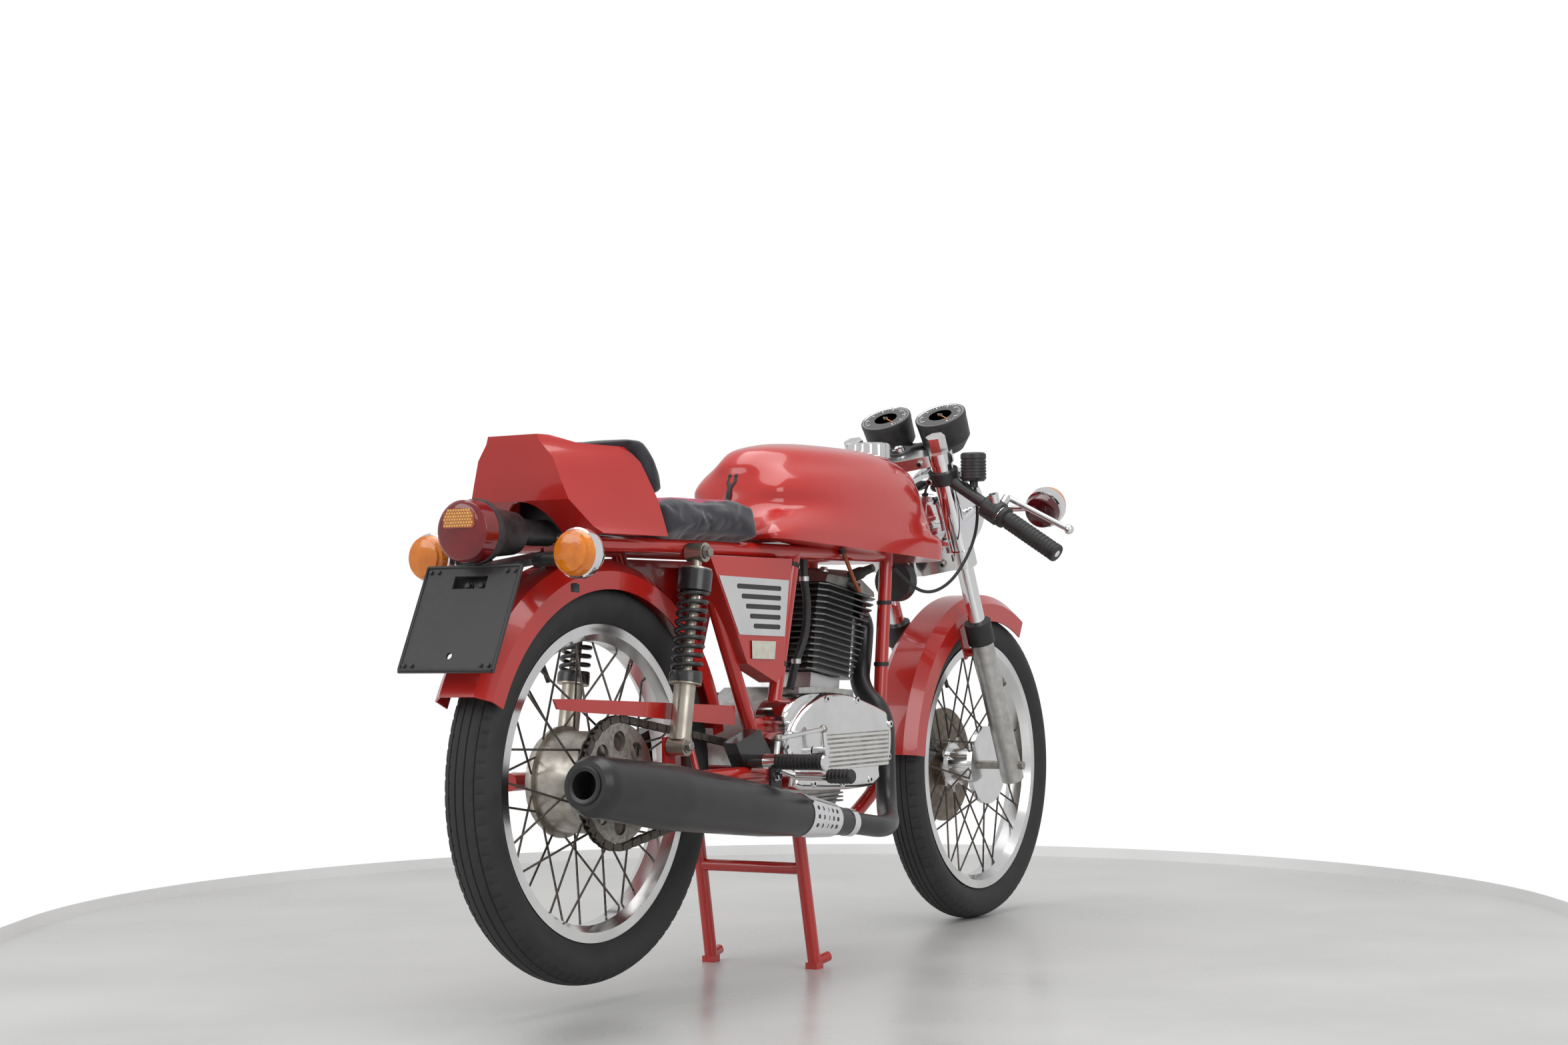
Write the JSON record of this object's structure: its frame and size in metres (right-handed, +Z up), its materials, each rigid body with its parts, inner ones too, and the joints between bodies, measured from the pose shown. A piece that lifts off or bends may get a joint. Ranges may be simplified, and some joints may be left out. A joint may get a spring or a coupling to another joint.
{
  "type": "cafe racer motorcycle",
  "caption": "Cafe racer motorcycle on its centre stand: cradle frame, wire wheels, clip-on bars, single seat with tail cowl, slim tank, finned engine and low silencer.",
  "frame": {"origin": "on the floor under the middle of the motorcycle's length, in its middle plane", "axes": "+X forward, +Y to the rider's left, +Z up"},
  "size_m": [1.9372, 0.6642, 1.0002],
  "materials": {
    "black_paint": "satin",
    "black_plastic": "satin",
    "black_rubber_hose": "satin",
    "cast_alloy": "satin",
    "chain_steel": "satin",
    "chrome": "polished",
    "damper_alloy": "satin",
    "disc_steel": "satin",
    "lamp_amber": "gloss",
    "lamp_red": "gloss",
    "polished_alloy": "polished",
    "red_paint": "gloss",
    "seat_suede": "matte",
    "soft_rubber": "matte",
    "spring_black": "gloss",
    "steel": "satin",
    "tyre_rubber": "matte"
  },
  "bodies": {
    "chassis": {"frame": "red_paint", "swingarm": "red_paint", "rear_dampers": "damper_alloy", "rear_springs": "spring_black", "rear_axle": "steel", "drive_chain": "chain_steel", "crankcase": "cast_alloy", "engine_covers": "polished_alloy", "cylinder": "black_paint", "carburettor": "cast_alloy", "silencer": "black_paint", "exhaust_pipe": "black_paint", "heat_shield": "chrome", "tail_cowl": "red_paint", "fuel_tank": "red_paint", "filler_cap": "polished_alloy", "seat_pad": "seat_suede", "bolster_pad": "seat_suede", "side_covers": "red_paint", "rear_mudguard": "red_paint", "plate_holder": "black_plastic", "tail_lamp": "lamp_red", "rear_indicators": "lamp_amber", "chain_guard": "red_paint", "footrests": "black_paint", "foot_controls": "polished_alloy", "horn": "black_plastic"},
    "rear_wheel": {"rear_tyre": "tyre_rubber", "rear_rim": "polished_alloy", "rear_hub": "cast_alloy", "rear_sprocket": "steel"},
    "steering": {"fork_yokes": "polished_alloy", "fork_tubes": "chrome", "fork_gaiters": "soft_rubber", "fork_sliders": "cast_alloy", "handlebars": "black_paint", "grips": "soft_rubber", "control_levers": "polished_alloy", "instruments": "black_plastic", "headlamp": "chrome", "front_indicators": "lamp_amber", "front_mudguard": "red_paint", "brake_caliper": "black_paint", "front_axle": "steel", "control_cables": "black_rubber_hose"},
    "front_wheel": {"front_tyre": "tyre_rubber", "front_rim": "polished_alloy", "front_hub": "polished_alloy", "brake_disc": "disc_steel"},
    "stand": {"centre_stand": "red_paint"}
  },
  "joints": [
    {"name": "rear_wheel_spin", "type": "hinge", "parent": "chassis", "child": "rear_wheel", "pos_m": [-0.63142, 0, 0.338], "axis": [0, 1, 0], "continuous": true},
    {"name": "steering_turn", "type": "hinge", "parent": "chassis", "child": "steering", "pos_m": [0.43951, 0, 0.71164], "axis": [-0.4258, 0, 0.9048], "range_deg": [-25, 25], "deforming": ["control_cables"]},
    {"name": "front_wheel_spin", "type": "hinge", "parent": "steering", "child": "front_wheel", "pos_m": [0.66858, 0, 0.3], "axis": [0, 1, 0], "continuous": true},
    {"name": "stand_fold", "type": "hinge", "parent": "chassis", "child": "stand", "pos_m": [-0.17044, 0, 0.258], "axis": [0, 1, 0], "range_deg": [0, 80]}
  ]
}
